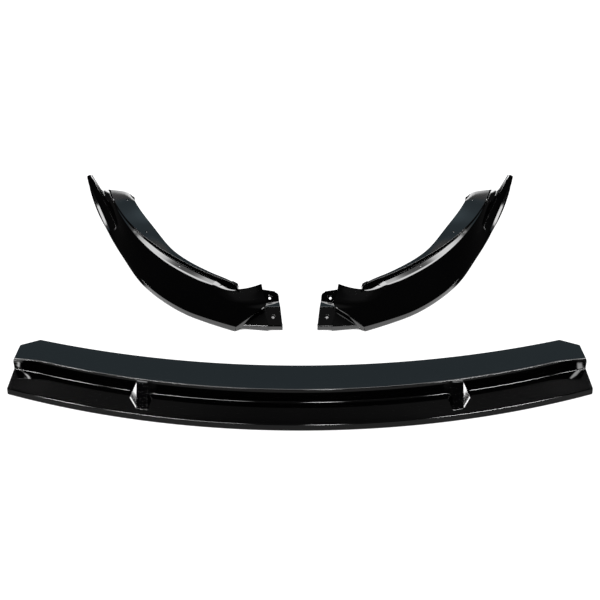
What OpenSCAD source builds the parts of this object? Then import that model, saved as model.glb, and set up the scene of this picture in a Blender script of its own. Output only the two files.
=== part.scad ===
// Front splitter lip in three moulded sections, laid out as a kit on the floor.
// The centre section lies in front with its leading edge towards -Y.
// The left and right sections stand behind it, mirror images of each other.
// Each section is one thin moulded wall: a band, a sloping blade and a rear plate or flange.

/* [Moulding] */
// Thickness of the moulded wall
wall = 3; // [2.5:0.5:4]
// Depth of the flange that turns in under the leading edge
return_d = 16; // [10:1:24]

/* [Centre section] */
// Width across the leading edge
centre_w = 1160; // [1040:10:1280]
// Height of the top plate above the floor
plate_h = 58; // [50:1:70]
// Depth of the top plate on the centre line
plate_d = 78; // [60:1:110]
// Height of the leading edge band
band_h = 14; // [8:1:18]
// Depth of the sloping blade on the centre line
blade_run = 53; // [40:1:70]
// Height of the blade where it meets the riser
blade_h = 27; // [20:1:34]
// Plan radius of the leading edge
front_r = 1545; // [1300:5:2200]
// Plan radius of the riser and of the plate's front edge
foot_r = 1500; // [1300:5:2200]
// Plan radius of the rear edge
rear_r = 1660; // [1400:5:2400]
// How far the plate's front edge swings forward at each end
brow_d = 19; // [0:1:22]
// Chamfer along the plate's front edge
edge_chamfer = 2; // [1:0.5:3]

/* [Gusset pads] */
// Distance between the two pads
pad_pitch = 617; // [400:10:800]
// Width of a pad's ridge
pad_w = 21; // [12:1:40]
// Spread of a pad's sides where they meet the riser foot
pad_flare = 10; // [3:1:14]

/* [Side sections] */
// Distance between the inner front corners of the two sections
side_gap = 270; // [240:5:400]
// Distance from the centre section's leading edge to those corners
side_back = 319; // [300:1:360]
// Width of one side section's outline
side_w = 352; // [300:1:400]
// Depth of one side section's outline
side_d = 532; // [460:1:600]
// Height of the outer band at the inner end
side_band_h = 12; // [9:1:16]
// Height of the blade's upper edge
crest_h = 50; // [42:1:58]
// Lift of the lower edge at the wheel arch tip
tip_lift = 30; // [10:1:40]
// Width of the mounting flange near the wheel arch
flange_w = 38; // [30:1:50]
// Height of the step between ledge and mounting flange
step_h = 7; // [5:0.5:10]

/* [Screws] */
// Diameter of a screw hole in the mounting flange and ledge
hole_d = 5; // [4:0.5:6]
// Diameter of a screw hole in the joining bracket
bracket_hole_d = 5.5; // [4.5:0.5:6.5]
// Diameter of the dished seat round a bracket hole
dish_d = 13; // [11:0.5:16]

/* [Joining bracket] */
// Reach of the overlap tab from the inner front corner
tab_reach = 99; // [90:1:110]
// Width of the tab's root, next to the diagonal end
root_reach = 69; // [66:1:76]
// Height of the bracket's front edge
bracket_front_h = 12; // [9:1:14]
// Height of the bracket's flat shelf
shelf_h = 34; // [28:1:36]
// Height of the bracket's rear edge
bracket_h = 56; // [50:1:60]
// Step from the root down to the tab, which leaves room for the centre section's wall
tab_step = 2; // [1:0.5:2.5]

/* [Hidden] */
$fn = 48;
gloss_black = [0.05, 0.05, 0.06];
plate_black = [0.12, 0.14, 0.15];

function unit(v) = v / norm(v);
function clamp(v, low, high) = min(max(v, low), high);
function mix(a, b, f) = a + (b - a) * f;

// Smooth curve through evenly spaced values, t from 0 to 1
function knot(v, k) = let (n = len(v) - 1)
    k < 0 ? 2 * v[0] - v[1] : k > n ? 2 * v[n] - v[n - 1] : v[k];
function spline(v, t) =
    let (
        n = len(v) - 1,
        s = clamp(t, 0, 1) * n,
        i = min(floor(s), n - 1),
        f = s - i,
        a = knot(v, i - 1), b = knot(v, i), c = knot(v, i + 1), d = knot(v, i + 2)
    )
    (2 * b + (c - a) * f + (2 * a - 5 * b + 4 * c - d) * f * f + (3 * b - a - 3 * c + d) * f * f * f) / 2;

// Bend from a start point to an end point, pulled towards a middle point
function bend(a, m, b, s) = (1 - s) * (1 - s) * a + 2 * s * (1 - s) * m + s * s * b;

// A thin wall: grid[station][row] is its outer face, and the inner face lies one wall behind
mitre_limit = 0.6;
function inner_point(g, i, j) =
    let (
        last_i = len(g) - 1,
        last_j = len(g[0]) - 1,
        along = g[min(i + 1, last_i)][j] - g[max(i - 1, 0)][j],
        up = g[i][min(j + 1, last_j)] - g[i][min(j, last_j - 1)],
        down = g[i][max(j, 1)] - g[i][max(j - 1, 0)],
        n1 = unit(cross(up, along)),
        n2 = unit(cross(down, along))
    )
    g[i][j] - wall * (n1 + n2) / max(1 + n1 * n2, mitre_limit);

module thin_wall(g) {
    stations = len(g);
    rows = len(g[0]);
    size = stations * rows;
    outer = [for (i = [0:stations - 1]) for (j = [0:rows - 1]) g[i][j]];
    inner = [for (i = [0:stations - 1]) for (j = [0:rows - 1]) inner_point(g, i, j)];
    faces = [
        for (i = [0:stations - 2]) for (j = [0:rows - 2])
            let (a = i * rows + j, b = a + 1, c = a + rows + 1, d = a + rows)
            each [[a, c, b], [a, d, c], [size + a, size + b, size + c], [size + a, size + c, size + d]],
        for (i = [0:stations - 2]) for (j = [0, rows - 1])
            let (a = i * rows + j, d = a + rows)
            each j == 0 ? [[a, size + d, d], [a, size + a, size + d]]
                        : [[a, d, size + d], [a, size + d, size + a]],
        for (i = [0, stations - 1]) for (j = [0:rows - 2])
            let (a = i * rows + j, b = a + 1)
            each i == 0 ? [[a, b, size + b], [a, size + b, size + a]]
                        : [[a, size + b, b], [a, size + a, size + b]]
    ];
    polyhedron(concat(outer, inner), faces, convexity = 10);
}

// Centre section

// Setback of an arc of plan radius r at distance x from the centre line
function setback(r, x) = r - sqrt(r * r - x * x);

end_taper = 10;
plate_taper = 12;
rear_taper = 59;
cut_taper = 20;
brow_start = 0.88;
brow_chamfer = 6;
foot_pull = 5;
bevel = 1;
return_in = 2;
cut_share = 0.46;

// One cross-section of the centre at s from 1 (right end) to -1 (left end)
function centre_row(x, y, z, r, s) = [x * s, y + setback(r, x * s), z];
function centre_section_points(s) =
    let (
        half = centre_w / 2,
        near_end = clamp((abs(s) - brow_start) / (1 - brow_start), 0, 1),
        brow = brow_d * near_end * near_end,
        soft = edge_chamfer + brow_chamfer * pow(near_end, 4),
        pull = foot_pull * near_end * near_end,
        foot_x = half - end_taper,
        plate_x = half - plate_taper,
        plate_y = blade_run + bevel - brow
    )
    [
        centre_row(half - return_in, return_d, 0, front_r, s),
        centre_row(half, 0, 0, front_r, s),
        centre_row(half, 0, band_h - bevel, front_r, s),
        centre_row(half, bevel, band_h, front_r, s),
        centre_row(foot_x, blade_run - pull - bevel, blade_h, foot_r, s),
        centre_row(foot_x, blade_run - pull, blade_h + bevel, foot_r, s),
        centre_row(plate_x, plate_y, plate_h - soft, foot_r, s),
        centre_row(plate_x, plate_y + soft, plate_h, foot_r, s),
        centre_row(half - cut_taper, blade_run + plate_d * cut_share, plate_h, foot_r, s),
        centre_row(half - rear_taper, blade_run + plate_d, plate_h, rear_r, s)
    ];

centre_stations = 48;
module centre_shell() {
    thin_wall([for (k = [0:centre_stations]) centre_section_points(1 - 2 * k / centre_stations)]);
}

// Wedge that carries the plate's edge down to the blade, sunk into the walls behind it
pad_sink = 1.5;
pad_shelf = 5;
pad_drop = 3.5;
pad_toe = 12;
pad_mid = 36;
pad_mid_sink = 0.5;
module gusset_pad(x) {
    w = pad_w / 2;
    wide = w + pad_flare;
    top_z = plate_h - pad_drop;
    toe_z = mix(band_h, blade_h, pad_toe / blade_run);
    mid_z = mix(band_h, blade_h, pad_mid / blade_run) - pad_mid_sink;
    function at(dx, y, z, r) = [x + dx, y + setback(r, x + dx), z];
    function pair(half_w, y, z, r) = [at(-half_w, y, z, r), at(half_w, y, z, r)];
    back = blade_run + bevel;
    points = concat(
        pair(w, back + pad_sink, top_z, foot_r),
        pair(w, back - pad_shelf, top_z, foot_r),
        pair(w, pad_toe, toe_z, front_r),
        pair(w, pad_toe, toe_z - pad_sink, front_r),
        pair(wide, blade_run - bevel, blade_h, foot_r),
        pair(wide, back + pad_sink, blade_h - pad_sink, foot_r),
        pair(wide, pad_mid, mid_z, foot_r)
    );
    faces = [
        [0, 1, 3, 2], [2, 3, 5, 4], [4, 5, 7, 6], [6, 7, 11, 10], [0, 10, 11, 1],
        [0, 2, 8], [2, 12, 8], [2, 4, 12], [0, 8, 10], [4, 6, 12], [6, 10, 12], [10, 8, 12],
        [1, 9, 3], [3, 9, 13], [3, 13, 5], [1, 11, 9], [5, 13, 7], [7, 13, 11], [13, 9, 11]
    ];
    polyhedron(points, faces);
}

module center_section() {
    color(plate_black) translate([0, -middle_y, 0]) {
        centre_shell();
        gusset_pad(-pad_pitch / 2);
        gusset_pad(pad_pitch / 2);
    }
}

// Side sections, described for the left one from its inner front corner

// Course of the lower edge as shares of the outline, from the inner corner to the tip
edge_course = [[0, 0], [0.31, 0.117], [0.557, 0.295], [0.717, 0.506], [0.857, 0.727], [1, 1]];
edge_lift = [0, 0, 0, 0, 0.2, 1];
lower_edge = [for (k = [0:5])
    [-side_w * edge_course[k][0], side_d * edge_course[k][1], tip_lift * edge_lift[k]]];

// Each list holds one value for each of the six stations along the lower edge
edge_turn = [0, 0, 0, 0, 1, 1];
band_share = [1, 0.83, 0.75, 0.83, 0.17, 0.17];
band_lean = [1, 1, 1, 2, 7, 3];
crest_run = [60, 62, 50, 28, 24.5, 24];
crest_rise = [0, 0, 0, 4, 2, 0];
fold_run = [30, 30, 26, 16, 19.8, 17];
fold_h = [30, 30, 32, 32, 16, 12];
fold_share = [0, 0, 0, 0.4, 1, 1];
crown = [3, 4, 4, 3, 0, 0];
ledge_run = [12, 14, 13, 6, 2, 2];
ledge_rise = [2, 2, 2, 2, 1, 1];
step_share = [1, 1, 0.86, 0.71, 0.43, 0.43];
flange_share = [0.14, 0.16, 0.34, 0.95, 1.13, 1.13];
flange_rise = [1, 2, 2, 2, -1, -1];

function heading(t) =
    let (d = spline(lower_edge, min(t + 0.001, 1)) - spline(lower_edge, max(t - 0.001, 0)))
    unit([d[0], d[1], 0]);
function blade_point(low, fold, high, bulge, fold_weight, f) =
    let (
        normal = unit([low[1] - high[1], high[0] - low[0]]),
        smooth = mix(low, high, f) + normal * bulge * 4 * f * (1 - f),
        folded = f <= 0.5 ? mix(low, fold, 2 * f) : mix(fold, high, 2 * f - 1)
    )
    mix(smooth, folded, clamp(fold_weight, 0, 1));

// Towards the wheel arch the return flange turns down into the edge of a narrow foot
turned_edge = [1, -2.5];

// One cross-section at t along the lower edge: run is measured inwards, height upwards
function side_section_points(t) =
    let (
        course = spline(lower_edge, t),
        base = [course[0], course[1], max(course[2], 0)],
        ahead = heading(t),
        inward = [ahead[1], -ahead[0], 0],
        low = [spline(band_lean, t), side_band_h * spline(band_share, t)],
        high = [spline(crest_run, t), crest_h + spline(crest_rise, t)],
        fold = [spline(fold_run, t), spline(fold_h, t)],
        foot = high + [spline(ledge_run, t), spline(ledge_rise, t)],
        top = foot + [1, step_h * spline(step_share, t)],
        out = [flange_w * spline(flange_share, t), spline(flange_rise, t)],
        turned = mix([return_d, 0], turned_edge, clamp(spline(edge_turn, t), 0, 1)),
        profile = [
            [turned[0], max(turned[1], -base[2])], [0, 0], low,
            for (f = [0.25, 0.5, 0.75])
                blade_point(low, fold, high, spline(crown, t), spline(fold_share, t), f),
            high, foot, top, top + out * 0.5, top + out * 0.85, top + out
        ]
    )
    [for (p = profile) base + inward * p[0] + [0, 0, p[1]]];

// Free ends of the twelve rows, at the joining bracket and at the wheel arch.
// Each list runs from the return flange over the band and blade to the flange's rear edge.
kick_h = crest_h + 9;
inner_end = [
    [7, 13, 0], [0, 0, 0], [2, 1, side_band_h],
    [33, 17.5, 28], [64, 34, 43], [59.5, 58.5, 51], [55, 83, kick_h],
    [5, 80, crest_h + 2], [6, 81, crest_h + 2 + step_h],
    [5, 85, crest_h + 10], [2, 88, crest_h + 10.5], [-2, 91, crest_h + 10.5]
];
crest_row = 6;
tip = [-side_w, side_d, tip_lift];
// Distance from the tip as shares of the outline, then the height, for the rows behind the tip
fin_h = crest_h + 14;
outer_course = [
    [0.114, 0.11, crest_h - 8], [0.168, 0.165, fin_h], [0.173, 0.169, fin_h + 1], [0.179, 0.173, fin_h + 2],
    [0.247, 0.179, fin_h + 1], [0.293, 0.19, fin_h], [0.33, 0.224, fin_h]
];
outer_end = [
    tip + [0.5, 0, 9.5], tip + [0, 0, 12], tip + [1, 0.5, 14.5], tip + [5.5, -1.5, 18], tip + [10, -4, 21],
    for (p = outer_course) [side_w * (p[0] - 1), side_d * (1 - p[1]), p[2]]
];
regular_from = 0.14;
regular_to = 0.78;
step_t = 0.002;
rim_step = 0.7;

function towards(a, before, b) = a + unit(a - before) * norm(b - a) * 0.5;

// Inner end: the crest row dips and then runs out to the kicked-up corner.
// The flange starts part of the way along it, with a rounded nose.
flange_from = 0.5;
kick_dip = [0, 0, 0, 0, 0, 4, 8];
top_row = 8;
nose_share = 0.14;
nose_least = 0.15;
function nose(share) =
    share >= nose_share ? 1 : max(nose_least, sqrt(1 - pow(1 - share / nose_share, 2)));
function inner_patch(s) =
    let (
        near = side_section_points(regular_from),
        next = side_section_points(regular_from + step_t),
        after = (s - flange_from) / (1 - flange_from),
        blade = [for (k = [0:crest_row])
            bend(inner_end[k], towards(near[k], next[k], inner_end[k]) - [0, 0, kick_dip[k]], near[k], s)],
        rim = unit(blade[crest_row] - blade[crest_row - 1]) * rim_step,
        flange = [for (k = [crest_row + 1:len(near) - 1])
            bend(inner_end[k], towards(near[k], next[k], inner_end[k]), near[k], after)],
        top = flange[top_row - crest_row - 1]
    )
    [
        each blade,
        for (k = [crest_row + 1:len(near) - 1])
            let (point = flange[k - crest_row - 1])
            after < 0 ? blade[crest_row] + rim * (k - crest_row)
                : k > top_row ? mix(top, point, nose(after)) : point
    ];
function outer_patch(s) =
    let (
        near = side_section_points(regular_to),
        next = side_section_points(regular_to - step_t)
    )
    [for (k = [0:len(near) - 1])
        bend(near[k], towards(near[k], next[k], outer_end[k]), outer_end[k], s)];

end_stations = 6;
mid_stations = 24;
inner_stations = [
    0, 0.17, 0.34, flange_from - 0.01,
    for (step = [0, 0.01, 0.03, 0.07, 0.15, 0.25, 0.37]) flange_from + step
];
side_grid = [
    for (share = inner_stations) inner_patch(share),
    for (k = [0:mid_stations]) side_section_points(mix(regular_from, regular_to, k / mid_stations)),
    for (k = [1:end_stations]) outer_patch(k / end_stations)
];

// Joining bracket: a short root that carries on the blade, and a folded tab one step below it
slope_run = 38;
tab_front = 5;
tab_low_h = bracket_front_h - tab_step;
tab_shelf_h = shelf_h - tab_step;
shelf_y = tab_front + slope_run;
shelf_at_root = 8;
shelf_at_end = 20;
rise_at_root = 23;
rise_at_end = 13.5;
rise_grade = (bracket_h - tab_shelf_h) / rise_at_root;
tab_lean = 0.13;
root_lean = 0.2;
tab_overlap = 7;
tab_corner = 7;
corner_from = 0.65;

// One cross-section of the tab: slope, flat shelf, and a rise that stays one plane from root to end
function tab_row(x, lean, shelf_run, rise_run, corner_cut) =
    let (
        fold_y = [tab_front, shelf_y, shelf_y + shelf_run, shelf_y + shelf_run + rise_run],
        lean_x = [for (y = fold_y) x - lean * (y - tab_front)],
        top_h = tab_shelf_h + rise_run * rise_grade
    )
    [
        [x, tab_front + return_d, 0],
        [x, tab_front, 0],
        [x, tab_front, tab_low_h],
        [lean_x[1], fold_y[1], tab_shelf_h],
        [lean_x[2], fold_y[2], tab_shelf_h],
        [mix(lean_x[2], lean_x[3], corner_from), mix(fold_y[2], fold_y[3], corner_from),
            mix(tab_shelf_h, top_h, corner_from)],
        [lean_x[3] - corner_cut, fold_y[3], top_h]
    ];
tab_end = tab_row(tab_reach, tab_lean, shelf_at_end, rise_at_end, tab_corner);
tab_root = tab_row(root_reach - tab_overlap, root_lean, shelf_at_root, rise_at_root, 0);

root_front = 2;
root_fold = [-11, 39];
root_skew = 8;
root_start = 12;
root_slope = 14;
root_drop = 3;
root_rows = [
    [
        [root_reach, root_front + return_d, 0],
        [root_reach, root_front, 0],
        [root_reach, root_front, bracket_front_h],
        [root_reach + root_fold[0], root_front + root_fold[1], shelf_h]
    ],
    [
        [root_start, root_front + root_skew + return_d, 0],
        [root_start, root_front + root_skew, 0],
        [root_start, root_front + root_skew, bracket_front_h - root_drop],
        [root_start, root_front + root_skew + root_slope, bracket_front_h + root_drop]
    ]
];

// Wall that turns down along the diagonal end and the kicked-up corner, from the blade to the bracket
end_wall_in = 0.4;
end_wall_drop = 2.2;
kick_wall_h = 10;
kick_wall_mid_h = 20;
diagonal_wall_h = 15;
module end_wall() {
    front = inner_end[2];
    middle = inner_end[4];
    rear = inner_end[crest_row];
    half = mix(rear, middle, 0.5);
    along_front = unit(front - middle);
    along_rear = unit(middle - rear);
    set_front = [along_front[1], -along_front[0], 0] * end_wall_in;
    set_rear = [along_rear[1], -along_rear[0], 0] * end_wall_in;
    function strip(p, set, h) = [p + set - [0, 0, h], p + set - [0, 0, end_wall_drop]];
    thin_wall([
        strip(rear, set_rear, kick_wall_h),
        strip(half, set_rear, kick_wall_mid_h),
        strip(middle, set_rear, diagonal_wall_h)
    ]);
    thin_wall([
        strip(middle, set_front, diagonal_wall_h),
        strip(front, set_front, side_band_h - end_wall_in)
    ]);
}

// Screw holes: vertical through the flange and ledge, square to the bracket's two slopes
function on_flange(t, share) =
    let (p = side_section_points(t)) mix(p[8], p[11], share);
function on_ledge(p, share) = mix(p[crest_row], p[crest_row + 1], share);
flange_holes = [
    on_flange(0.8, 0.67), on_flange(0.578, 0.46),
    on_ledge(side_section_points(0.335), 0.66), on_ledge(inner_patch(0.87), 0.6)
];

// Point and outward direction on the plane through a, b and c
function facing(a, b, c) = unit(cross(b - a, c - a));
function on_plane(a, n, x, y) = [x, y, a[2] - (n[0] * (x - a[0]) + n[1] * (y - a[1])) / n[2]];
slope_out = facing(tab_root[2], tab_end[2], tab_root[3]);
rise_out = facing(tab_root[4], tab_end[4], tab_root[6]);
tab_free = tab_reach - root_reach;
low_hole = on_plane(tab_root[3], slope_out, root_reach + tab_free * 0.33, tab_front + slope_run * 0.45);
high_hole = on_plane(tab_root[4], rise_out, root_reach + tab_free * 0.1, shelf_y + rise_at_root * 0.91);
dish_depth = 1;
hole_reach = 12;
module bracket_hole(place, out) {
    translate(place) rotate([0, acos(out[2]), atan2(out[1], out[0])]) {
        translate([0, 0, -hole_reach]) cylinder(d = bracket_hole_d, h = 2 * hole_reach);
        translate([0, 0, -dish_depth]) cylinder(d = dish_d, h = hole_reach);
    }
}

module side_section() {
    difference() {
        union() {
            thin_wall(side_grid);
            thin_wall([tab_end, tab_root]);
            thin_wall(root_rows);
            end_wall();
        }
        for (p = flange_holes)
            translate([p[0], p[1], p[2] - hole_reach]) cylinder(d = hole_d, h = 2 * hole_reach);
        bracket_hole(low_hole, slope_out);
        bracket_hole(high_hole, rise_out);
    }
}

// The origin lies on the floor under the middle of the whole layout
side_ys = [for (i = [0:len(side_grid) - 1]) for (j = [0:len(side_grid[0]) - 1])
    each [side_grid[i][j][1], inner_point(side_grid, i, j)[1]]];
middle_y = (side_back + max(side_ys)) / 2;

module left_section() {
    color(gloss_black)
        translate([-side_gap / 2, side_back - middle_y, 0]) side_section();
}

module right_section() {
    color(gloss_black)
        mirror([1, 0, 0]) translate([-side_gap / 2, side_back - middle_y, 0]) side_section();
}

center_section();
left_section();
right_section();
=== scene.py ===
import math

import bmesh
import bpy
import numpy as np
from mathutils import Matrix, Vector


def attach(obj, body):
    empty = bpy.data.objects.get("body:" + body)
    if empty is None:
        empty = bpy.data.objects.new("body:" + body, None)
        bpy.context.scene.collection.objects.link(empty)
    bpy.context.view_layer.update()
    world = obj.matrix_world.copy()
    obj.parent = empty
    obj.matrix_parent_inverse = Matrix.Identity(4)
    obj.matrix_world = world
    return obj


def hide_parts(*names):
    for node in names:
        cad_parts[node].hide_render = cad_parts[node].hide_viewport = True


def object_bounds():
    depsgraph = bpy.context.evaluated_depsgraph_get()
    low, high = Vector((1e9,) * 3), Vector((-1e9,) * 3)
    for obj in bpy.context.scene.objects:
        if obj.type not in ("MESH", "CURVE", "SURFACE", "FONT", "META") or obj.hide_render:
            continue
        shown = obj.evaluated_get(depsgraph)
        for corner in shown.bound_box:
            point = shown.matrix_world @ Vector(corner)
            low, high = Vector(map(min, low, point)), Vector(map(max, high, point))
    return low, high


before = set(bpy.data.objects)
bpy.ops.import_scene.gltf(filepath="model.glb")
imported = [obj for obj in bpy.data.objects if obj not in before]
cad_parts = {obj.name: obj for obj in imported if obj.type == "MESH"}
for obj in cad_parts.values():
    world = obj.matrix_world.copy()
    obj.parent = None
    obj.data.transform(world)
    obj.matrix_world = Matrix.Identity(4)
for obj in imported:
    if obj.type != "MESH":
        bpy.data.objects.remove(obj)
cad_low, cad_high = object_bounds()

MM = 0.001

# Sizes in millimetres. All are the part's own but the pads' flare, which is fitted to the photograph.
WALL = 3.0
RETURN_D = 16.0
CENTRE_W, PLATE_H, PLATE_D = 1160.0, 58.0, 78.0
BAND_H, BLADE_RUN, BLADE_H = 14.0, 53.0, 27.0
FRONT_R, FOOT_R, REAR_R = 1545.0, 1500.0, 1660.0
BROW_D, BROW_START, FOOT_PULL = 19.0, 0.88, 5.0
END_TAPER, PLATE_TAPER, REAR_TAPER, CUT_TAPER = 10.0, 12.0, 59.0, 20.0
RETURN_IN, CUT_SHARE = 2.0, 0.46
PAD_PITCH, PAD_W = 617.0, 21.0
PAD_FLARE_OUT, PAD_FLARE_IN = 15.0, 8.0
PAD_SINK, PAD_SHELF, PAD_DROP, PAD_TOE, PAD_MID, PAD_MID_SINK = 1.5, 5.0, 3.5, 12.0, 36.0, 0.5

SIDE_GAP, SIDE_BACK, SIDE_W, SIDE_D = 270.0, 319.0, 352.0, 532.0
SIDE_BAND_H, CREST_H, TIP_LIFT, FLANGE_W, STEP_H = 12.0, 50.0, 30.0, 38.0, 7.0
HOLE_D, BRACKET_HOLE_D, DISH_D, DISH_DEPTH = 5.0, 5.5, 13.0, 1.0
HOLE_REACH = 12.0

TAB_REACH, ROOT_REACH = 99.0, 69.0
BRACKET_FRONT_H, SHELF_H, BRACKET_H, TAB_STEP = 12.0, 34.0, 56.0, 2.0

# Courses along a side section, one value for each of six stations. Those of the ledge, the step and
# the flange are fitted to the photograph, and the others are the part's own.
EDGE_COURSE = np.array([[0, 0], [0.31, 0.117], [0.557, 0.295], [0.717, 0.506], [0.857, 0.727], [1, 1]])
EDGE_LIFT = [0, 0, 0, 0, 0.2, 1]
EDGE_TURN = [0, 0, 0, 0, 1, 1]
BAND_SHARE = [1, 0.83, 0.75, 0.83, 0.17, 0.17]
BAND_LEAN = [1, 1, 1, 2, 7, 3]
CREST_RUN = [60, 62, 50, 28, 24.5, 24]
CREST_RISE = [0, 0, 0, 4, 2, 0]
FOLD_RUN = [30, 30, 26, 16, 19.8, 17]
FOLD_H = [30, 30, 32, 32, 16, 12]
FOLD_SHARE = [0, 0, 0, 0.4, 1, 1]
CROWN = [3, 4, 4, 3, 0, 0]
LEDGE_RUN = [15, 17, 16, 8, 2, 2]
LEDGE_RISE = [2, 2, 2, 2, 1, 1]
STEP_SHARE = [1.14, 1.14, 1, 0.8, 0.43, 0.43]
FLANGE_SHARE = [0.14, 0.16, 0.34, 0.95, 1.13, 1.13]
FLANGE_RISE = [0.2, 0.3, 0.4, 1, -1, -1]
FLANGE_CROWN = 0.3
TURNED_EDGE = np.array([1, -2.5])

LOWER_EDGE = np.column_stack([-SIDE_W * EDGE_COURSE[:, 0], SIDE_D * EDGE_COURSE[:, 1],
                              TIP_LIFT * np.array(EDGE_LIFT)])
KICK_H = CREST_H + 9
KICK_DIP = [0, 0, 0, 0, 0, 4, 8]
# Rows of a side section: the blade's rear edge, the ledge's, the step's and the flange's
CREST_ROW, LEDGE_ROW, TOP_ROW, REAR_ROW = 6, 7, 8, 11
REGULAR_FROM, REGULAR_TO, STEP_T = 0.14, 0.78, 0.002
FLANGE_FROM, NOSE_SHARE, NOSE_LEAST, RIM_STEP = 0.5, 0.14, 0.15, 0.7
LEDGE_RISE_END = 0.9

# The side section's inner end, one point for each row of its section. The flange's last three are
# fitted to the photograph.
INNER_END = np.array([
    [7, 13, 0], [0, 0, 0], [2, 1, SIDE_BAND_H],
    [33, 17.5, 28], [64, 34, 43], [59.5, 58.5, 51], [55, 83, KICK_H],
    [5, 80, CREST_H + 2], [6, 81, CREST_H + 2 + STEP_H],
    [5, 85, CREST_H + 9.2], [2, 88, CREST_H + 9.4], [-2, 91, CREST_H + 9.5]])
TIP = np.array([-SIDE_W, SIDE_D, TIP_LIFT])
FIN_H = CREST_H + 14
OUTER_COURSE = np.array([
    [0.114, 0.11, CREST_H - 8], [0.168, 0.165, FIN_H], [0.173, 0.169, FIN_H + 1], [0.179, 0.173, FIN_H + 2],
    [0.247, 0.179, FIN_H + 1], [0.293, 0.19, FIN_H], [0.33, 0.224, FIN_H]])
OUTER_END = np.concatenate([
    TIP + np.array([[0.5, 0, 9.5], [0, 0, 12], [1, 0.5, 14.5], [5.5, -1.5, 18], [10, -4, 21]]),
    np.column_stack([SIDE_W * (OUTER_COURSE[:, 0] - 1), SIDE_D * (1 - OUTER_COURSE[:, 1]),
                     OUTER_COURSE[:, 2]])])

# Fall of the foot at the wheel arch, for each millimetre in x and in y, and where it fades out
FOOT_SLOPE = np.array([-0.105, -0.18])
FOOT_FADE_IN, FOOT_FADE_OUT = 0.2, 0.1

# Stations of the side section: shares of its inner patch, and counts on the rest
KICK_SHARES = np.linspace(0, FLANGE_FROM - 0.01, 9)
NOSE_SHARES = FLANGE_FROM + np.array([0, 0.004, 0.01, 0.018, 0.028, 0.04, 0.055, 0.07])
LEDGE_SHARES = np.linspace(0.61, 0.94, 7)
REGULAR_STATIONS, ARCH_STATIONS, CENTRE_STATIONS, TAB_STATIONS = 73, 15, 161, 7

# Reach of the rounded edges, the most of a face that one takes, and their part on the inner side
BOTTOM_ROUND, BAND_ROUND, CREST_ROUND, STEP_ROUND = 1.5, 1.5, 3.0, 0.7
CENTRE_BAND_ROUND, RISER_FOOT_ROUND, PLATE_ROUND, CUT_ROUND, BROW_ROUND = 2.0, 2.2, 1.6, 3.0, 7
TAB_BAND_ROUND, SHELF_ROUND, TAB_CORNER_R = 2.5, 0.4, 9.0
ROUND_MOST, INNER_ROUND = 0.45, 0.4
EDGE_STEPS = 6

# Points on each face of a section
CENTRE_POINTS = [2, 2, 5, 5, 3, 3]
SIDE_POINTS = [2, 2, 17, 3, 2, 9]
TAB_POINTS = [2, 2, 4, 3, 14]
ROOT_POINTS = [2, 2, 3]

# Bevels, as width, angle and segments, and the angle at which shading breaks
SOFT_EDGE, SOFT_PAD = (0.6, 40, 2), (4.5, 20, 8)
SHARP_ANGLE = 32
HOLE_SIDES = 48


def unit(v):
    return v / max(np.linalg.norm(v), 1e-9)


def mix(a, b, f):
    return a + (b - a) * f


def clamp(v, low, high):
    return min(max(v, low), high)


def spline(values, t):
    """Smooth curve through evenly spaced values, t from 0 to 1."""
    v = np.asarray(values, float)
    v = np.concatenate([[2 * v[0] - v[1]], v, [2 * v[-1] - v[-2]]])
    n = len(v) - 3
    s = clamp(t, 0, 1) * n
    i = min(int(s), n - 1)
    f = s - i
    a, b, c, d = v[i], v[i + 1], v[i + 2], v[i + 3]
    return (2 * b + (c - a) * f + (2 * a - 5 * b + 4 * c - d) * f ** 2 + (3 * b - a - 3 * c + d) * f ** 3) / 2


def bend(a, m, b, s):
    """From a to b, pulled towards m."""
    return (1 - s) ** 2 * a + 2 * s * (1 - s) * m + s ** 2 * b


def inner_grid(g, limit=0.6):
    """Each point of a grid set back by one wall, mitred where two faces meet."""
    out = np.empty_like(g)
    last_i, last_j = g.shape[0] - 1, g.shape[1] - 1
    for i in range(last_i + 1):
        for j in range(last_j + 1):
            along = g[min(i + 1, last_i), j] - g[max(i - 1, 0), j]
            up = g[i, min(j + 1, last_j)] - g[i, min(j, last_j - 1)]
            down = g[i, max(j, 1)] - g[i, max(j - 1, 0)]
            n1, n2 = unit(np.cross(up, along)), unit(np.cross(down, along))
            out[i, j] = g[i, j] - WALL * (n1 + n2) / max(1 + n1 @ n2, limit)
    return out


# Rounded cross-sections

def resample(line, start, end, count):
    """Evenly spaced points on a polyline between two distances from its ends."""
    length = np.concatenate([[0], np.cumsum(np.linalg.norm(np.diff(line, axis=0), axis=1))])
    most = ROUND_MOST * length[-1]
    at = np.linspace(min(start, most), length[-1] - min(end, most), count)
    return np.column_stack([np.interp(at, length, line[:, k]) for k in range(3)])


def rounded(parts, reaches, counts):
    """Joins polylines end to end, and rounds each corner by its reach."""
    starts, ends = [0.0, *reaches], [*reaches, 0.0]
    pieces = [resample(p, starts[k], ends[k], counts[k]) for k, p in enumerate(parts)]
    out = [pieces[0]]
    for before, after, part in zip(pieces, pieces[1:], parts[1:]):
        corner = part[0]
        steps = np.arange(1, EDGE_STEPS) / EDGE_STEPS
        out.append(np.array([bend(before[-1], corner, after[0], s) for s in steps]))
        out.append(after)
    return np.concatenate(out)


def smooth_run(points, crease, count=6):
    """Curve through a few points, straight between them where crease is 1."""
    n = len(points) - 1
    at = np.linspace(0, 1, n * count + 1)
    curve = np.array([spline(points, t) for t in at])
    straight = np.column_stack([np.interp(at * n, range(n + 1), np.asarray(points)[:, k]) for k in range(3)])
    return mix(curve, straight, clamp(crease, 0, 1))


# Centre section

def setback(r, x):
    return r - math.sqrt(r * r - x * x)


def centre_row(x, y, z, r, s):
    return [x * s, y + setback(r, x * s), z]


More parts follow.
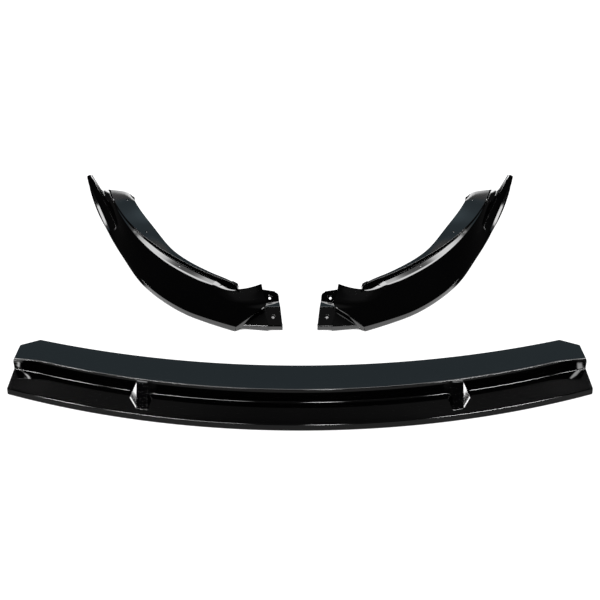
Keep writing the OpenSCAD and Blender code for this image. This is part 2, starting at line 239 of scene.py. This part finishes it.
def near_end(s):
    return clamp((abs(s) - BROW_START) / (1 - BROW_START), 0, 1)


def centre_controls(s):
    half, brow = CENTRE_W / 2, near_end(s) ** 2
    foot_x, plate_x = half - END_TAPER, half - PLATE_TAPER
    return np.array([
        centre_row(half - RETURN_IN, RETURN_D, 0, FRONT_R, s),
        centre_row(half, 0, 0, FRONT_R, s),
        centre_row(half, 0, BAND_H, FRONT_R, s),
        centre_row(foot_x, BLADE_RUN - FOOT_PULL * brow, BLADE_H, FOOT_R, s),
        centre_row(plate_x, BLADE_RUN + 1 - BROW_D * brow, PLATE_H, FOOT_R, s),
        centre_row(half - CUT_TAPER, BLADE_RUN + PLATE_D * CUT_SHARE, PLATE_H, FOOT_R, s),
        centre_row(half - REAR_TAPER, BLADE_RUN + PLATE_D, PLATE_H, REAR_R, s)])


def centre_profile(row, s, shrink):
    edge = (PLATE_ROUND + BROW_ROUND * near_end(s) ** 4) * shrink
    reaches = (BOTTOM_ROUND * shrink, CENTRE_BAND_ROUND * shrink, RISER_FOOT_ROUND, edge, CUT_ROUND)
    return rounded([row[k:k + 2] for k in range(6)], reaches, CENTRE_POINTS)


def centre_shell():
    shares = np.linspace(1, -1, CENTRE_STATIONS)
    controls = np.array([centre_controls(s) for s in shares])
    inside = inner_grid(controls)
    outer = np.array([centre_profile(r, s, 1.0) for r, s in zip(controls, shares)])
    inner = np.array([centre_profile(r, s, INNER_ROUND) for r, s in zip(inside, shares)])
    return shell_mesh("centre_shell", outer, inner)


def gusset_pad(name, x):
    flare_left, flare_right = (PAD_FLARE_OUT, PAD_FLARE_IN) if x < 0 else (PAD_FLARE_IN, PAD_FLARE_OUT)
    top_z = PLATE_H - PAD_DROP
    toe_z = mix(BAND_H, BLADE_H, PAD_TOE / BLADE_RUN)
    mid_z = mix(BAND_H, BLADE_H, PAD_MID / BLADE_RUN) - PAD_MID_SINK
    back = BLADE_RUN + 1

    def pair(flare, y, z, r):
        places = (x - PAD_W / 2 - flare * flare_left, x + PAD_W / 2 + flare * flare_right)
        return [[place, y + setback(r, place), z] for place in places]

    points = np.array(
        pair(0, back + PAD_SINK, top_z, FOOT_R) + pair(0, back - PAD_SHELF, top_z, FOOT_R)
        + pair(0, PAD_TOE, toe_z, FRONT_R) + pair(0, PAD_TOE, toe_z - PAD_SINK, FRONT_R)
        + pair(1, BLADE_RUN - 1, BLADE_H, FOOT_R) + pair(1, back + PAD_SINK, BLADE_H - PAD_SINK, FOOT_R)
        + pair(1, PAD_MID, mid_z, FOOT_R))
    faces = [[0, 1, 3, 2], [2, 3, 5, 4], [4, 5, 7, 6], [6, 7, 11, 10], [0, 10, 11, 1],
             [0, 2, 8], [2, 12, 8], [2, 4, 12], [0, 8, 10], [4, 6, 12], [6, 10, 12], [10, 8, 12],
             [1, 9, 3], [3, 9, 13], [3, 13, 5], [1, 11, 9], [5, 13, 7], [7, 13, 11], [13, 9, 11]]
    return solid(name, points, faces)


# Side sections, described for the left one from its inner front corner

def heading(t):
    d = spline(LOWER_EDGE, min(t + 0.001, 1)) - spline(LOWER_EDGE, max(t - 0.001, 0))
    return unit(np.array([d[0], d[1], 0]))


def blade_point(low, fold, high, bulge, fold_weight, f):
    normal = unit(np.array([low[1] - high[1], high[0] - low[0]]))
    smooth = mix(low, high, f) + normal * bulge * 4 * f * (1 - f)
    folded = mix(low, fold, 2 * f) if f <= 0.5 else mix(fold, high, 2 * f - 1)
    return mix(smooth, folded, clamp(fold_weight, 0, 1))


def side_controls(t):
    base = spline(LOWER_EDGE, t)
    base[2] = max(base[2], 0)
    ahead = heading(t)
    inward = np.array([ahead[1], -ahead[0], 0])
    low = np.array([spline(BAND_LEAN, t), SIDE_BAND_H * spline(BAND_SHARE, t)])
    high = np.array([spline(CREST_RUN, t), CREST_H + spline(CREST_RISE, t)])
    fold = np.array([spline(FOLD_RUN, t), spline(FOLD_H, t)])
    foot = high + [spline(LEDGE_RUN, t), spline(LEDGE_RISE, t)]
    top = foot + [1, STEP_H * spline(STEP_SHARE, t)]
    out = np.array([FLANGE_W * spline(FLANGE_SHARE, t), spline(FLANGE_RISE, t)])
    crown = np.array([0, FLANGE_CROWN * min(1, spline(FLANGE_SHARE, t))])
    turned = mix(np.array([RETURN_D, 0]), TURNED_EDGE, clamp(spline(EDGE_TURN, t), 0, 1))
    turned[1] = max(turned[1], -base[2])
    blade = [blade_point(low, fold, high, spline(CROWN, t), spline(FOLD_SHARE, t), f)
             for f in (0.25, 0.5, 0.75)]
    profile = [turned, [0, 0], low, *blade, high, foot, top, top + out * 0.5 + crown,
               top + out * 0.85 + crown * 0.5, top + out]
    return np.array([base + inward * p[0] + [0, 0, p[1]] for p in profile])


def towards(a, before, b):
    return a + unit(a - before) * np.linalg.norm(b - a) * 0.5


NEAR_INNER, NEXT_INNER = side_controls(REGULAR_FROM), side_controls(REGULAR_FROM + STEP_T)
NEAR_OUTER, NEXT_OUTER = side_controls(REGULAR_TO), side_controls(REGULAR_TO - STEP_T)


def nose(share):
    if share >= NOSE_SHARE:
        return 1.0
    return max(NOSE_LEAST, math.sqrt(1 - (1 - share / NOSE_SHARE) ** 2))


def inner_patch(s):
    near, following = NEAR_INNER, NEXT_INNER
    rows = [bend(INNER_END[k], towards(near[k], following[k], INNER_END[k]) - [0, 0, KICK_DIP[k]], near[k], s)
            for k in range(CREST_ROW + 1)]
    rim = unit(rows[CREST_ROW] - rows[CREST_ROW - 1]) * RIM_STEP
    after = (s - FLANGE_FROM) / (1 - FLANGE_FROM)
    for k in range(CREST_ROW + 1, len(near)):
        if after < 0:
            rows.append(rows[CREST_ROW] + rim * (k - CREST_ROW))
            continue
        point = bend(INNER_END[k], towards(near[k], following[k], INNER_END[k]), near[k], after)
        if k == LEDGE_ROW:
            rise = mix(LEDGE_RISE_END, point[2] - near[CREST_ROW][2], after ** 2)
            point[2] = min(point[2], rows[CREST_ROW][2] + rise)
        rows.append(mix(rows[TOP_ROW], point, nose(after)) if k > TOP_ROW else point)
    return np.array(rows)


def outer_patch(s):
    rows = np.array([bend(a, towards(a, b, c), c, s) for a, b, c in zip(NEAR_OUTER, NEXT_OUTER, OUTER_END)])
    edge, low = rows[1], rows[2]
    level = edge[2] - FOOT_SLOPE @ (low[:2] - edge[:2])
    fade = clamp(s / FOOT_FADE_IN, 0, 1) * clamp((1 - s) / FOOT_FADE_OUT, 0, 1)
    low[2] = mix(low[2], min(level, low[2]), fade)
    return rows


def side_stations():
    """Control rows and crease weight at every station from the inner end to the tip."""
    rows, crease = [], []
    for s in [*KICK_SHARES, *NOSE_SHARES, *LEDGE_SHARES]:
        rows.append(inner_patch(s))
        crease.append(0.0)
    for t in np.linspace(REGULAR_FROM, REGULAR_TO, REGULAR_STATIONS):
        rows.append(side_controls(t))
        crease.append(spline(FOLD_SHARE, t))
    for s in np.linspace(0, 1, ARCH_STATIONS)[1:]:
        rows.append(outer_patch(s))
        crease.append(1.0)
    return np.array(rows), crease


def side_profile(row, crease, shrink):
    parts = [row[0:2], row[1:3], smooth_run(row[2:7], crease), row[6:8], row[7:9], smooth_run(row[8:12], 0)]
    reaches = (BOTTOM_ROUND * shrink, BAND_ROUND * shrink, CREST_ROUND * shrink,
               STEP_ROUND, STEP_ROUND * shrink)
    return rounded(parts, reaches, SIDE_POINTS)


def side_shell(name):
    controls, crease = side_stations()
    inside = inner_grid(controls)
    outer = np.array([side_profile(r, c, 1.0) for r, c in zip(controls, crease)])
    inner = np.array([side_profile(r, c, INNER_ROUND) for r, c in zip(inside, crease)])
    return shell_mesh(name, outer, inner)


# Joining bracket

SLOPE_RUN, TAB_FRONT = 38.0, 5.0
TAB_LOW_H, TAB_SHELF_H = BRACKET_FRONT_H - TAB_STEP, SHELF_H - TAB_STEP
SHELF_Y = TAB_FRONT + SLOPE_RUN
SHELF_AT_ROOT, SHELF_AT_END, RISE_AT_ROOT, RISE_AT_END = 8.0, 20.0, 23.0, 13.5
RISE_GRADE = (BRACKET_H - TAB_SHELF_H) / RISE_AT_ROOT
TAB_LEAN, ROOT_LEAN, TAB_OVERLAP = 0.13, 0.2, 7.0
ROOT_FRONT, ROOT_FOLD, ROOT_SKEW, ROOT_START, ROOT_SLOPE, ROOT_DROP = 2.0, (-11, 39), 8.0, 12.0, 14.0, 3.0


def tab_controls(x, lean, shelf_run, rise_run):
    ys = [TAB_FRONT, SHELF_Y, SHELF_Y + shelf_run, SHELF_Y + shelf_run + rise_run]
    xs = [x - lean * (y - TAB_FRONT) for y in ys]
    top_h = TAB_SHELF_H + rise_run * RISE_GRADE
    return np.array([[x, TAB_FRONT + RETURN_D, 0], [x, TAB_FRONT, 0], [x, TAB_FRONT, TAB_LOW_H],
                     [xs[1], ys[1], TAB_SHELF_H], [xs[2], ys[2], TAB_SHELF_H], [xs[3], ys[3], top_h]])


TAB_END = tab_controls(TAB_REACH, TAB_LEAN, SHELF_AT_END, RISE_AT_END)
TAB_ROOT = tab_controls(ROOT_REACH - TAB_OVERLAP, ROOT_LEAN, SHELF_AT_ROOT, RISE_AT_ROOT)
ROOT_ROWS = np.array([
    [[ROOT_REACH, ROOT_FRONT + RETURN_D, 0], [ROOT_REACH, ROOT_FRONT, 0],
     [ROOT_REACH, ROOT_FRONT, BRACKET_FRONT_H],
     [ROOT_REACH + ROOT_FOLD[0], ROOT_FRONT + ROOT_FOLD[1], SHELF_H]],
    [[ROOT_START, ROOT_FRONT + ROOT_SKEW + RETURN_D, 0], [ROOT_START, ROOT_FRONT + ROOT_SKEW, 0],
     [ROOT_START, ROOT_FRONT + ROOT_SKEW, BRACKET_FRONT_H - ROOT_DROP],
     [ROOT_START, ROOT_FRONT + ROOT_SKEW + ROOT_SLOPE, BRACKET_FRONT_H + ROOT_DROP]]])


def round_corner(line):
    """Pulls the last rows of the tab's end in, so that its rear corner is round."""
    left = np.linalg.norm(line - line[-1], axis=1)
    inside = np.clip(TAB_CORNER_R - left, 0, TAB_CORNER_R)
    line = line.copy()
    line[:, 0] -= TAB_CORNER_R - np.sqrt(TAB_CORNER_R ** 2 - inside ** 2)
    return line


def tab_profile(row, shrink):
    parts = [row[k:k + 2] for k in range(5)]
    reaches = (BOTTOM_ROUND * shrink, TAB_BAND_ROUND * shrink, SHELF_ROUND, SHELF_ROUND)
    return rounded(parts, reaches, TAB_POINTS)


def tab_shell(name):
    shares = np.linspace(0, 1, TAB_STATIONS)
    controls = np.array([mix(TAB_END, TAB_ROOT, s) for s in shares])
    inside = inner_grid(controls)
    outer = np.array([tab_profile(r, 1.0) for r in controls])
    inner = np.array([tab_profile(r, INNER_ROUND) for r in inside])
    outer[0], inner[0] = round_corner(outer[0]), round_corner(inner[0])
    return shell_mesh(name, outer, inner)


def root_profile(row, shrink):
    reaches = (BOTTOM_ROUND * shrink, CENTRE_BAND_ROUND * shrink)
    return rounded([row[k:k + 2] for k in range(3)], reaches, ROOT_POINTS)


def root_shell(name):
    inside = inner_grid(ROOT_ROWS)
    outer = np.array([root_profile(r, 1.0) for r in ROOT_ROWS])
    inner = np.array([root_profile(r, INNER_ROUND) for r in inside])
    return shell_mesh(name, outer, inner)


END_WALL_IN, END_WALL_DROP = 0.4, 2.2
KICK_WALL_H, KICK_WALL_MID_H, DIAGONAL_WALL_H = 10.0, 20.0, 15.0


def end_walls(name):
    front, middle, rear = INNER_END[2], INNER_END[4], INNER_END[CREST_ROW]
    half = mix(rear, middle, 0.5)

    def inset(d):
        return np.array([d[1], -d[0], 0]) * END_WALL_IN

    set_front, set_rear = inset(unit(front - middle)), inset(unit(middle - rear))

    def strip(p, off, h):
        return [p + off - [0, 0, h], p + off - [0, 0, END_WALL_DROP]]

    kick = np.array([strip(rear, set_rear, KICK_WALL_H), strip(half, set_rear, KICK_WALL_MID_H),
                     strip(middle, set_rear, DIAGONAL_WALL_H)])
    diagonal = np.array([strip(middle, set_front, DIAGONAL_WALL_H),
                         strip(front, set_front, SIDE_BAND_H - END_WALL_IN)])
    return [shell_mesh(name + "_kick", kick, inner_grid(kick)),
            shell_mesh(name + "_diagonal", diagonal, inner_grid(diagonal))]


# Screw holes

def facing(a, b, c):
    return unit(np.cross(b - a, c - a))


def on_plane(a, n, x, y):
    return np.array([x, y, a[2] - (n[0] * (x - a[0]) + n[1] * (y - a[1])) / n[2]])


def on_rows(rows, first, last, share):
    return mix(rows[first], rows[last], share)


# Two holes in the flange and two in the ledge, at the part's own places
FLANGE_HOLES = [on_rows(side_controls(0.8), TOP_ROW, REAR_ROW, 0.67),
                on_rows(side_controls(0.578), TOP_ROW, REAR_ROW, 0.4),
                on_rows(side_controls(0.335), CREST_ROW, LEDGE_ROW, 0.54),
                on_rows(inner_patch(0.87), CREST_ROW, LEDGE_ROW, 0.49)]
SLOPE_OUT = facing(TAB_ROOT[2], TAB_END[2], TAB_ROOT[3])
RISE_OUT = facing(TAB_ROOT[4], TAB_END[4], TAB_ROOT[5])
TAB_FREE = TAB_REACH - ROOT_REACH
LOW_HOLE = on_plane(TAB_ROOT[3], SLOPE_OUT, ROOT_REACH + TAB_FREE * 0.33, TAB_FRONT + SLOPE_RUN * 0.45)
HIGH_HOLE = on_plane(TAB_ROOT[4], RISE_OUT, ROOT_REACH + TAB_FREE * 0.1, SHELF_Y + RISE_AT_ROOT * 0.91)


# Meshes

def grid_faces(rows, columns, base, flip):
    faces = []
    for i in range(rows - 1):
        for j in range(columns - 1):
            a = base + i * columns + j
            quad = [a, a + columns, a + columns + 1, a + 1]
            faces.append(quad[::-1] if flip else quad)
    return faces


def shell_mesh(name, outer, inner):
    """Closed mesh between an outer and an inner grid of points."""
    rows, columns = outer.shape[:2]
    size = rows * columns
    faces = grid_faces(rows, columns, 0, False) + grid_faces(rows, columns, size, True)
    for i in range(rows - 1):
        a, b = i * columns, (i + 1) * columns
        faces.append([a, size + a, size + b, b])
        a, b = a + columns - 1, b + columns - 1
        faces.append([a, b, size + b, size + a])
    for j in range(columns - 1):
        faces.append([j, j + 1, size + j + 1, size + j])
        a = (rows - 1) * columns + j
        faces.append([a, size + a, size + a + 1, a + 1])
    points = np.concatenate([outer.reshape(-1, 3), inner.reshape(-1, 3)])
    return solid(name, points, faces)


def solid(name, points, faces):
    mesh = bpy.data.meshes.new(name)
    mesh.from_pydata([tuple(p) for p in points], [], faces)
    tidy_mesh(mesh)
    obj = bpy.data.objects.new(name, mesh)
    bpy.context.scene.collection.objects.link(obj)
    return obj


def tidy_mesh(mesh):
    bm = bmesh.new()
    bm.from_mesh(mesh)
    bmesh.ops.remove_doubles(bm, verts=bm.verts, dist=0.01)
    bmesh.ops.dissolve_degenerate(bm, dist=0.005, edges=bm.edges)
    bmesh.ops.recalc_face_normals(bm, faces=bm.faces)
    bm.to_mesh(mesh)
    bm.free()


def cylinder(name, place, direction, radius, low, high):
    bm = bmesh.new()
    bmesh.ops.create_cone(bm, cap_ends=True, segments=HOLE_SIDES, radius1=radius, radius2=radius,
                          depth=high - low)
    turn = Vector((0, 0, 1)).rotation_difference(Vector(direction)).to_matrix().to_4x4()
    bmesh.ops.translate(bm, verts=bm.verts, vec=(0, 0, (low + high) / 2))
    bmesh.ops.transform(bm, matrix=turn, verts=bm.verts)
    bmesh.ops.translate(bm, verts=bm.verts, vec=Vector(place))
    mesh = bpy.data.meshes.new(name)
    bm.to_mesh(mesh)
    bm.free()
    obj = bpy.data.objects.new(name, mesh)
    bpy.context.scene.collection.objects.link(obj)
    return obj


def apply_modifiers(obj):
    graph = bpy.context.evaluated_depsgraph_get()
    mesh = bpy.data.meshes.new_from_object(obj.evaluated_get(graph))
    obj.modifiers.clear()
    obj.data = mesh


def cut(obj, tools):
    for tool in tools:
        m = obj.modifiers.new("cut", "BOOLEAN")
        m.operation, m.solver, m.object = "DIFFERENCE", "EXACT", tool
    apply_modifiers(obj)
    for tool in tools:
        bpy.data.objects.remove(tool)


def soften(obj, bevel):
    width, angle, segments = bevel
    m = obj.modifiers.new("soft", "BEVEL")
    m.width, m.segments, m.limit_method = width, segments, "ANGLE"
    m.angle_limit = math.radians(angle)
    m.use_clamp_overlap = True
    apply_modifiers(obj)


def joined(name, parts, move, mirror=False):
    """One object from several meshes, moved into the frame and scaled to metres."""
    bm = bmesh.new()
    for part in parts:
        bm.from_mesh(part.data)
        bpy.data.objects.remove(part)
    for v in bm.verts:
        x, y, z = v.co.x + move[0], v.co.y + move[1], v.co.z + move[2]
        v.co = Vector((-x if mirror else x, y, z)) * MM
    if mirror:
        bmesh.ops.reverse_faces(bm, faces=bm.faces)
    for f in bm.faces:
        f.smooth = True
    mesh = bpy.data.meshes.new(name)
    bm.to_mesh(mesh)
    bm.free()
    mesh.set_sharp_from_angle(angle=math.radians(SHARP_ANGLE))
    obj = bpy.data.objects.new(name, mesh)
    bpy.context.scene.collection.objects.link(obj)
    m = obj.modifiers.new("even_normals", "WEIGHTED_NORMAL")
    m.keep_sharp = True
    return obj


def side_parts():
    shell = side_shell("side_shell")
    cut(shell, [cylinder("hole", p, (0, 0, 1), HOLE_D / 2, -HOLE_REACH, HOLE_REACH) for p in FLANGE_HOLES])
    tab = tab_shell("tab")
    tools = []
    for place, out in ((LOW_HOLE, SLOPE_OUT), (HIGH_HOLE, RISE_OUT)):
        tools.append(cylinder("hole", place, out, BRACKET_HOLE_D / 2, -HOLE_REACH, HOLE_REACH))
        tools.append(cylinder("dish", place, out, DISH_D / 2, -DISH_DEPTH, HOLE_REACH))
    cut(tab, tools)
    root = root_shell("root")
    walls = end_walls("end_wall")
    for part in (shell, tab, root, *walls):
        soften(part, SOFT_EDGE)
    return [shell, tab, root, *walls]


# Finish and studio

# AMBIENT lights the shapes; DARK_ROOM is the dark base of the painted reflections that only the gloss sees
AMBIENT, DARK_ROOM = 0.9, 0.02
FLOOR_SIZE, FLOOR_Z, FLOOR_TONE = 3, -0.0004, 0.3
# Painted shadow: the floor's glow for the camera fades out where ambient occlusion is high, under and next to
# the part
SHADOW_REACH, SHADOW_FROM, SHADOW_TO = 0.15, 0.35, 0.55

# Painted reflection: a dark room that only the gloss sees, as elevation in degrees and brightness, with a
# bright strip high behind
PAINTED_ROOM = [(-90, 0), (4, 0), (8, 0.4), (28, 0.5), (33, 0.34), (38.5, 0.33), (40, 0.42), (42, 0.6), (43.6, 0.8),
        (44.6, 1.5), (45.4, 6.5), (47.5, 9.0), (50, 13.0), (58.6, 13.0), (60, 0.12), (66, 0.1), (67.5, 0.03),
        (74, 0), (90, 0)]
ROOM_TINT, ROOM_TINT_TO = (0.77, 1.04, 1.19), 41
ROOM_HALF_WIDTH, ROOM_FADE, ROOM_TILT = 41, 5, 0.04
PEAK = 13.0

# Painted reflections, no lamps: light panels that only the gloss sees, as azimuth from, to, elevation from,
# to, brightness
PAINTED_PANELS = [(-141, -133, 33, 40, 110), (-157, -144, 39, 43, 150), (-170, -157, 33, 42, 33),
          (173, 178, 33, 42, 105), (134, 155, 33, 42, 85),
          (-82, -75, -4, 2, 24), (75, 82, -4, 2, 24), (-180, 180, 74, 95, 0.13)]
PANEL_SOFT = 2

# Painted reflections on the table, seen only by the gloss: x and y from, to in metres, and brightness
PAINTED_TABLE_LIGHT = [(-0.8, 0.8, -0.8, -0.24, 0.35),
               (-0.45, -0.03, -0.18, 0.05, 2.5), (0.03, 0.45, -0.18, 0.05, 2.5),
               (-0.66, -0.55, 0.445, 0.475, 6.0), (0.55, 0.66, 0.445, 0.475, 6.0)]
TABLE_SOFT = 0.012


def node(tree, kind, **values):
    n = tree.nodes.new(kind)
    for key, value in values.items():
        setattr(n, key, value)
    return n


def gloss_black():
    material = bpy.data.materials.new("gloss_black_plastic")
    material.use_nodes = True
    tree = material.node_tree
    shader = tree.nodes["Principled BSDF"]
    shader.inputs["Roughness"].default_value = 0.05
    shader.inputs["IOR"].default_value = 1.48
    place = node(tree, "ShaderNodeTexCoord")
    grain = node(tree, "ShaderNodeTexNoise")
    grain.inputs["Scale"].default_value = 900
    grain.inputs["Detail"].default_value = 3
    flow = node(tree, "ShaderNodeTexNoise")
    flow.inputs["Scale"].default_value = 6
    flow.inputs["Detail"].default_value = 2
    tone = node(tree, "ShaderNodeValToRGB")
    tone.color_ramp.elements[0].position = 0.3
    tone.color_ramp.elements[0].color = (0.0004, 0.0004, 0.0005, 1)
    tone.color_ramp.elements[1].position = 0.7
    tone.color_ramp.elements[1].color = (0.0008, 0.0008, 0.0009, 1)
    bump = node(tree, "ShaderNodeBump")
    bump.inputs["Strength"].default_value = 0.02
    bump.inputs["Distance"].default_value = 0.0002
    link = tree.links.new
    link(place.outputs["Object"], grain.inputs["Vector"])
    link(place.outputs["Object"], flow.inputs["Vector"])
    link(flow.outputs["Fac"], tone.inputs["Fac"])
    link(tone.outputs["Color"], shader.inputs["Base Color"])
    link(grain.outputs["Fac"], bump.inputs["Height"])
    link(bump.outputs["Normal"], shader.inputs["Normal"])
    return material


def studio_floor():
    """White table, its glow for the camera darkened by ambient occlusion: a painted shadow. The gloss sees it
    as a dark one with a few painted patches of light, painted reflections.
    """
    bpy.ops.mesh.primitive_plane_add(size=FLOOR_SIZE, location=(0, 0, FLOOR_Z))
    floor = bpy.context.object
    floor.name = "studio_floor"
    material = bpy.data.materials.new("studio_white")
    material.use_nodes = True
    tree = material.node_tree
    tree.nodes.clear()
    link = tree.links.new
    rays = node(tree, "ShaderNodeLightPath")

    matt = node(tree, "ShaderNodeBsdfDiffuse")
    matt.inputs["Color"].default_value = (FLOOR_TONE, FLOOR_TONE, FLOOR_TONE, 1)
    # Painted shadow: ambient occlusion darkens the camera's glow under and next to the part
    cover = node(tree, "ShaderNodeAmbientOcclusion", samples=16)
    cover.inputs["Distance"].default_value = SHADOW_REACH
    outside_painted_shadow = smooth_range(tree, cover.outputs["AO"], SHADOW_FROM, SHADOW_TO, 0.0, 1.0)
    glow = node(tree, "ShaderNodeEmission")
    link(math_node(tree, "MULTIPLY", rays.outputs["Is Camera Ray"], outside_painted_shadow), glow.inputs["Strength"])
    open_floor = node(tree, "ShaderNodeAddShader")
    link(matt.outputs[0], open_floor.inputs[0])
    link(glow.outputs[0], open_floor.inputs[1])

    place = node(tree, "ShaderNodeNewGeometry")
    split = node(tree, "ShaderNodeSeparateXYZ")
    link(place.outputs["Position"], split.inputs[0])
    # Painted reflections: patches of light on a dark base, which only the gloss sees on the floor
    patches = light_patches(tree, split.outputs["X"], split.outputs["Y"], PAINTED_TABLE_LIGHT, TABLE_SOFT)
    mirrored = node(tree, "ShaderNodeEmission")
    link(math_node(tree, "ADD", patches, DARK_ROOM), mirrored.inputs["Strength"])

    both = node(tree, "ShaderNodeMixShader")
    link(mirrored_rays(tree, rays), both.inputs[0])
    link(open_floor.outputs[0], both.inputs[1])
    link(mirrored.outputs[0], both.inputs[2])
    link(both.outputs[0], node(tree, "ShaderNodeOutputMaterial").inputs["Surface"])
    floor.data.materials.append(material)


def math_node(tree, operation, *values):
    """Math node fed by sockets and plain numbers."""
    n = node(tree, "ShaderNodeMath", operation=operation)
    for socket, value in zip(n.inputs, values):
        if isinstance(value, (int, float)):
            socket.default_value = value
        else:
            tree.links.new(value, socket)
    return n.outputs[0]


def mirrored_rays(tree, rays):
    return math_node(tree, "MAXIMUM", rays.outputs["Is Glossy Ray"], rays.outputs["Is Transmission Ray"])


def smooth_range(tree, value, start, end, low, high):
    n = node(tree, "ShaderNodeMapRange", interpolation_type="SMOOTHSTEP")
    for key, number in (("From Min", start), ("From Max", end), ("To Min", low), ("To Max", high)):
        n.inputs[key].default_value = number
    tree.links.new(value, n.inputs["Value"])
    return n.outputs["Result"]


def window(tree, value, start, end, soft):
    """1 between two values and 0 outside, with soft edges."""
    rise = smooth_range(tree, value, start - soft, start + soft, 0.0, 1.0)
    fall = smooth_range(tree, value, end - soft, end + soft, 1.0, 0.0)
    return math_node(tree, "MULTIPLY", rise, fall)


def light_patches(tree, across, up, patches, soft):
    """Sum of soft rectangles of painted light over two coordinates."""
    total = None
    for left, right, low, high, brightness in patches:
        inside = math_node(tree, "MULTIPLY", window(tree, across, left, right, soft),
                           window(tree, up, low, high, soft))
        patch = math_node(tree, "MULTIPLY", inside, float(brightness))
        total = patch if total is None else math_node(tree, "ADD", total, patch)
    return total


def studio_world():
    """Plain light for the shapes, and for the gloss only a painted reflection: a dark room with light panels.
    The camera sees white.
    """
    world = bpy.data.worlds.new("studio")
    bpy.context.scene.world = world
    world.use_nodes = True
    tree = world.node_tree
    link = tree.links.new
    place = node(tree, "ShaderNodeTexCoord")
    split = node(tree, "ShaderNodeSeparateXYZ")
    link(place.outputs["Generated"], split.inputs[0])
    azimuth = math_node(tree, "DEGREES", math_node(tree, "ARCTAN2", split.outputs["X"], split.outputs["Y"]))
    elevation = math_node(tree, "DEGREES", math_node(tree, "ARCSINE", split.outputs["Z"]))

    ramp = node(tree, "ShaderNodeValToRGB")
    elements = ramp.color_ramp.elements
    while len(elements) < len(PAINTED_ROOM):
        elements.new(0.5)
    for element, (degrees, brightness) in zip(elements, PAINTED_ROOM):
        tint = ROOM_TINT if degrees < ROOM_TINT_TO else (1, 1, 1)
        element.position = (degrees + 90) / 180
        element.color = (*[brightness / PEAK * c for c in tint], 1)
    sideways = math_node(tree, "ABSOLUTE", azimuth)
    tilted = math_node(tree, "MULTIPLY_ADD", sideways, ROOM_TILT, elevation)
    link(math_node(tree, "MULTIPLY_ADD", tilted, 1 / 180, 0.5), ramp.inputs["Fac"])
    behind = smooth_range(tree, sideways, ROOM_HALF_WIDTH, ROOM_HALF_WIDTH + ROOM_FADE, PEAK, 0.0)
    room = node(tree, "ShaderNodeVectorMath", operation="SCALE")
    link(ramp.outputs["Color"], room.inputs[0])
    link(behind, room.inputs["Scale"])
    # Painted reflections: panels of light that only the gloss sees
    panels = light_patches(tree, azimuth, elevation, PAINTED_PANELS, PANEL_SOFT)
    both = node(tree, "ShaderNodeVectorMath", operation="ADD")
    link(room.outputs[0], both.inputs[0])
    link(math_node(tree, "ADD", panels, DARK_ROOM), both.inputs[1])

    # Only glossy and transmission rays see the painted reflections; other rays see AMBIENT and the camera
    # sees white
    rays = node(tree, "ShaderNodeLightPath")
    gloss = node(tree, "ShaderNodeMix", data_type="RGBA")
    link(mirrored_rays(tree, rays), gloss.inputs[0])
    gloss.inputs[6].default_value = (AMBIENT, AMBIENT, AMBIENT, 1)
    link(both.outputs[0], gloss.inputs[7])
    shown = node(tree, "ShaderNodeMix", data_type="RGBA")
    link(rays.outputs["Is Camera Ray"], shown.inputs[0])
    link(gloss.outputs[2], shown.inputs[6])
    shown.inputs[7].default_value = (1, 1, 1, 1)
    link(shown.outputs[2], tree.nodes["Background"].inputs["Color"])


def camera():
    elevation, distance, focal_pixels, frame_pixels, sensor = 36.0, 4.0, 1888.0, 600.0, 36.0
    target = Vector((0, 0.0035, 0))
    data = bpy.data.cameras.new("camera")
    data.sensor_width = sensor
    data.lens = focal_pixels / frame_pixels * sensor
    cam = bpy.data.objects.new("camera", data)
    bpy.context.scene.collection.objects.link(cam)
    e = math.radians(elevation)
    back = Vector((0, -math.cos(e), math.sin(e)))
    cam.location = target + back * distance
    cam.rotation_mode = "QUATERNION"
    cam.rotation_quaternion = back.to_track_quat("Z", "Y")
    bpy.context.scene.camera = cam


def build():
    middle_y = -cad_low[1] / MM
    finish = gloss_black()

    pads = [gusset_pad("pad", x) for x in (-PAD_PITCH / 2, PAD_PITCH / 2)]
    shell = centre_shell()
    soften(shell, SOFT_EDGE)
    for pad in pads:
        soften(pad, SOFT_PAD)
    centre = joined("centre_moulding", [shell, *pads], (0, -middle_y, 0))

    shift = (-SIDE_GAP / 2, SIDE_BACK - middle_y, 0)
    left = joined("left_moulding", side_parts(), shift)
    right = joined("right_moulding", side_parts(), shift, mirror=True)

    for obj, cad in ((centre, "center_section"), (left, "left_section"), (right, "right_section")):
        obj.data.materials.append(finish)
        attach(obj, "root")
        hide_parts(cad)


build()
studio_floor()
studio_world()
camera()
bpy.context.scene.view_settings.view_transform = "Standard"
